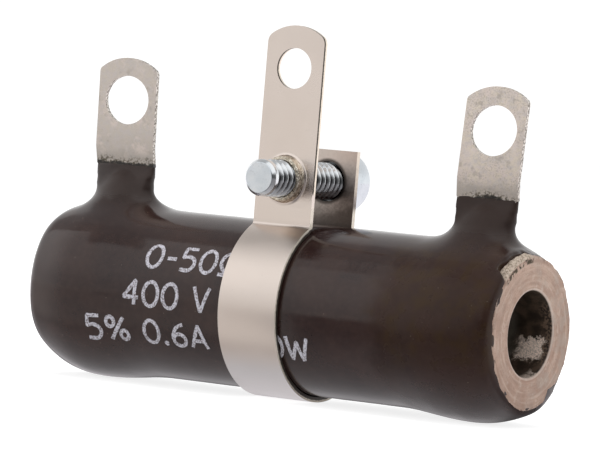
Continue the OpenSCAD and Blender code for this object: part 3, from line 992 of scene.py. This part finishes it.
def make_winding():
    """One helix of wire, a little uneven in its spacing."""
    turns, steps, sides = 34, 40, 8
    radius, coil, length = 0.2, CORE_RADIUS + 0.22, 34.0
    count = turns * steps + 1
    points = []
    for i in range(count):
        middle = length * (i / (count - 1) - 0.5) + 0.03 * ripple(i * 0.013, 1, 2.0)
        for tilt in angles(sides):
            at, r = middle + radius * sin(tilt), coil + radius * cos(tilt)
            points.append(turned(at, r, TAU * i / steps))
    mesh = to_mesh(points, tube_faces(count, sides))
    make_piece("wire_helix", mesh, wire_look(), "resistor_body", "resistance_wire", "resistance_winding")


# Sheet metal pieces, from their solids with softened edges

def softened(node, width):
    """Copy of a solid's mesh with its flats merged and its edges rounded by a small bevel."""
    shell = bmesh.new()
    shell.from_mesh(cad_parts[node].data)
    bmesh.ops.remove_doubles(shell, verts=shell.verts, dist=0.0005 * MM)
    bmesh.ops.dissolve_limit(shell, angle_limit=radians(0.4), verts=shell.verts, edges=shell.edges)
    base = bpy.data.meshes.new(node)
    shell.to_mesh(base)
    shell.free()
    return with_modifiers(base, rounded_edges(width, 3, 38))


def bend_lug(mesh, side):
    """Sets a lug as it stands in the photo, above the part that the enamel hides."""
    for v in mesh.vertices:
        p = v.co / MM
        if p.z > LUG_FOOT:
            v.co = Vector(lug_place(side, *p)) * MM


def collar_flare():
    """Ring of metal that rounds the front ear into its drawn collar."""
    rounds, steps, inner, fillet, overlap, rise = 96, 10, 2.06, 0.42, 0.1, 0.012
    outline = [(inner + fillet, EAR_FRONT + overlap), (inner - overlap, EAR_FRONT + overlap),
               (inner - overlap, EAR_FRONT - fillet)]
    for i in range(steps + 1):
        bend = pi / 2 * i / steps
        r = inner + fillet * (1 - cos(bend))
        outline.append((r, EAR_FRONT - rise - fillet * (1 - sin(bend))))
    points = [screw_point(r + 0.03 * ripple_round(turn, 2, 4.4), y, turn)
              for r, y in outline for turn in angles(rounds)]
    mesh = to_mesh(points, grid_faces(len(outline), rounds, wrap_rows=True))
    mesh.set_sharp_from_angle(angle=radians(50))
    return mesh


def make_lugs():
    """Each lug by its name and side, with the bow of its film, the amount of its pits and painted glints,
    and how far it is greyed.
    """
    for name, side, bow, grit_and_glints, greyed in (("left", -1, 0, 0.3, 0.5), ("right", 1, 0.075, 0.65, 0)):
        mesh = softened(name + "_terminal", 0.09)
        bend_lug(mesh, side)
        material = terminal_look("terminal_metal_" + name, bow, grit_and_glints, greyed)
        make_piece(name + "_lug", flat_shading(mesh), material, "resistor_body", "terminal_metal",
                   name + "_terminal")


def make_band():
    material = nickel_look()
    mesh = flat_shading(softened("tap_band", 0.11))
    make_piece("clamp_band", mesh, material, "tap", "band_nickel", "tap_band")
    make_piece("collar_flare", collar_flare(), material, "tap", "band_nickel")


# Clamp screw

def thread_radius(y, turn):
    """Radius of a thread with straight flanks, a narrow crest and a narrow root."""
    pitch, depth, crest, slope = 0.794, 0.38, 0.1, 0.7
    phase = (y / pitch - turn / TAU) % 1
    flank = abs(2 * phase - 1)
    return SCREW_RADIUS - depth * min(1, max(0, (flank - crest) / slope))


def shank_radius(y, turn):
    """Radius of the screw: a chamfered tip, a thread that starts gradually, and an undercut at the head."""
    plain, core, chamfer, undercut = SCREW_RADIUS - 0.04, 1.42, 0.9, 0.35
    if y > HEAD_SEAT - undercut:
        return core
    runout = ease(y - SCREW_TIP, 0.35, 1.5)
    r = plain + (thread_radius(y, turn) - plain) * runout
    return min(r, core + chamfer * (y - SCREW_TIP))


def make_thread(material):
    rounds, step = 72, 0.045
    tip_rings = (0.5, 1, 1.38)
    length = HEAD_SEAT + 0.4 - SCREW_TIP
    rows = int(length / step)
    points = []
    for r in tip_rings:
        for turn in angles(rounds):
            points.append(screw_point(r, SCREW_TIP + 0.015 * ripple_round(turn, r, 1), turn))
    for i in range(rows + 1):
        y = SCREW_TIP + length * i / rows
        points += [screw_point(shank_radius(y, turn), y, turn) for turn in angles(rounds)]
    mesh = to_mesh(points, tube_faces(len(tip_rings) + rows + 1, rounds))
    mesh.set_sharp_from_angle(angle=radians(50))
    make_piece("screw_thread", mesh, material, "screw", "screw_zinc", "clamp_screw")


def slot_cutter():
    """Block that cuts the slot across the screw's head."""
    floor, half, reach, above = SCREW_END - 1.4, 0.55, HEAD_RADIUS + 1, SCREW_END + 1
    ring = ((floor, -reach), (floor, reach), (above, reach), (above, -reach))
    corners = [(x, y, SCREW_Z + z) for x in (-half, half) for y, z in ring]
    return add_object("cutter", to_mesh(corners, tube_faces(2, len(ring)), smooth=False))


def make_head(material):
    rounds, crown = 96, HEAD_HEIGHT - HEAD_SIDE
    outline = [(1.9, 0), (HEAD_RADIUS - 0.14, 0), (HEAD_RADIUS - 0.04, 0.04), (HEAD_RADIUS, 0.14),
               (HEAD_RADIUS, HEAD_SIDE - 0.1)]
    for angle in range(6, 90, 7):
        bend = radians(angle)
        outline.append((HEAD_RADIUS * cos(bend) ** 0.8, HEAD_SIDE + crown * sin(bend)))
    points = [screw_point(r, HEAD_SEAT + h, turn) for r, h in outline for turn in angles(rounds)]
    blank = to_mesh(points, tube_faces(len(outline), rounds))
    cutter = slot_cutter()
    slotted = with_modifiers(blank, ("BOOLEAN", dict(operation="DIFFERENCE", object=cutter, solver="EXACT")),
                             rounded_edges(0.06, 2, 40))
    bpy.data.objects.remove(cutter)
    make_piece("screw_head", flat_shading(slotted), material, "screw", "screw_zinc")


def make_screw():
    material = zinc_look()
    make_thread(material)
    make_head(material)


# Floor, world and lamps

def empty_tree(owner):
    owner.use_nodes = True
    owner.node_tree.nodes.clear()
    return owner.node_tree


def by_ray(tree, plain, seen):
    """Shader that is seen straight, in reflections and through glass, and plain to all other light."""
    rays = add_node(tree, "LightPath").node.outputs
    kinds = ("Is Camera Ray", "Is Glossy Ray", "Is Transmission Ray")
    factor = largest(*(Amount(tree, rays[kind]) for kind in kinds))
    return add_node(tree, "MixShader", {0: factor, 1: plain, 2: seen})


def mirrored_floor(tree):
    """The floor in reflections: a painted shadow under the body and close before it, bright behind it, a far
    glow and a card before it.
    """
    place = add_node(tree, "NewGeometry", output="Position")
    x, y = (part * (1 / MM) for part in components(tree, place)[:2])
    # Painted shadow on the floor, seen only in reflections: dark close under the body, and dimmer before it
    # than behind
    painted_contact_shadow = y.step(-1.8, 1.6, 0, 0.78) * y.step(14, 7)
    under = y.step(-26, 12, 0.25, 1.06) * (1 - painted_contact_shadow)
    far = y.step(-50, -150, 0, 0.88) * x.step(20, -50)
    card = y.step(-2, -16, 0, 0.74) * (x - y * 0.65).step(11.5, 7.5)
    ahead = largest(far, card)
    tint = add_node(tree, "Mix", {0: ahead, 6: (1.04, 1, 1.03, 1), 7: (1.03, 1, 0.96, 1)}, 2,
                    data_type="RGBA")
    return add_node(tree, "Emission", {"Color": tint, "Strength": largest(under, ahead)})


def make_floor():
    """White to the eye save for a shadow, and a studio's table in reflections."""
    reach, level = 3000, span("tap_band", 2)[0] - 0.02
    corners = ((-reach, -reach), (reach, -reach), (reach, reach), (-reach, reach))
    mesh = to_mesh([(x, y, level) for x, y in corners], [(0, 1, 2, 3)], smooth=False)
    floor = add_object("floor", mesh)
    material = bpy.data.materials.new("floor")
    tree = empty_tree(material)
    shaded = add_node(tree, "BsdfDiffuse", {"Color": (0.45, 0.45, 0.45, 1)})
    glow = add_node(tree, "Emission", {"Color": (1, 1, 1, 1), "Strength": 0.82})
    white = add_node(tree, "AddShader", {0: shaded, 1: glow})
    direct = add_node(tree, "LightPath", output="Is Camera Ray")
    seen = add_node(tree, "MixShader", {0: direct, 1: mirrored_floor(tree), 2: white})
    plain = add_node(tree, "BsdfDiffuse", {"Color": (0.82, 0.82, 0.82, 1)})
    add_node(tree, "OutputMaterial", {"Surface": by_ray(tree, plain, seen)})
    mesh.materials.append(material)


def studio_tone(tree):
    """White to the eye; in reflections a white back and left, soft boxes and a dim camera side."""
    way = add_node(tree, "TexCoord", output="Generated")
    height = components(tree, way)[2]

    def toward(direction, low, high, tone=1):
        """Rises from 0 to its tone across a part of the studio that lies in a direction."""
        share = amount(tree, "VectorMath", {0: way, 1: direction}, "Value", operation="DOT_PRODUCT")
        return share.step(low, high, 0, tone)

    dim = height.step(0.2, 0.8, 0.1, 0.5)
    back = toward((0, 0.956, -0.292), -0.1, 0.14) * height.step(0.15, 0.55, 1.1, 0.84)
    left_wall = toward((-1, 0, 0), 0.55, 0.85, 0.92)
    top_box = toward((0.45, -0.25, 0.857), 0.72, 0.9, 1.05)
    low_part = toward((0, -0.883, -0.469), -0.02, 0.06)
    tall_part = toward((0, -0.99, -0.139), -0.02, 0.06) * toward((-1, 0, 0), 0.534, 0.545)
    at_left = toward((-0.8, 0, 0.6), 0, 0.25)
    front_box = largest(low_part, tall_part) * at_left * height.step(0, 0.45, 0.84, 1.1)
    direct = add_node(tree, "LightPath", output="Is Camera Ray")
    return largest(dim, front_box, back, left_wall, top_box, direct)


def make_world():
    world = bpy.data.worlds.new("studio")
    bpy.context.scene.world = world
    tree = empty_tree(world)
    ambient = add_node(tree, "Background", {"Color": (0.97, 0.98, 1, 1), "Strength": 0.48})
    seen = add_node(tree, "Background", {"Color": studio_tone(tree), "Strength": 1})
    add_node(tree, "OutputWorld", {"Surface": by_ray(tree, ambient, seen)})


def make_lamp(name, place, size, power):
    """Soft box that points at the object and isn't seen in reflections."""
    data = bpy.data.lights.new(name, "AREA")
    data.shape = "RECTANGLE"
    data.size, data.size_y = (side * MM for side in size)
    data.energy = power
    lamp = add_object(name, data)
    lamp.location = Vector(place) * MM
    lamp.rotation_euler = (-Vector(place)).to_track_quat("-Z", "Y").to_euler()
    lamp.visible_glossy = False


def make_lamps():
    make_lamp("top_light", (-120, 50, 620), (600, 450), 3.0)
    make_lamp("left_light", (-550, -350, 220), (400, 450), 1.5)
    make_lamp("right_light", (550, -100, 300), (350, 400), 0.8)


bpy.context.scene.view_settings.view_transform = "Standard"
make_camera()
make_floor()
make_world()
make_lamps()
make_core()
make_winding()
make_enamel()
make_marking()
make_lugs()
make_band()
make_screw()
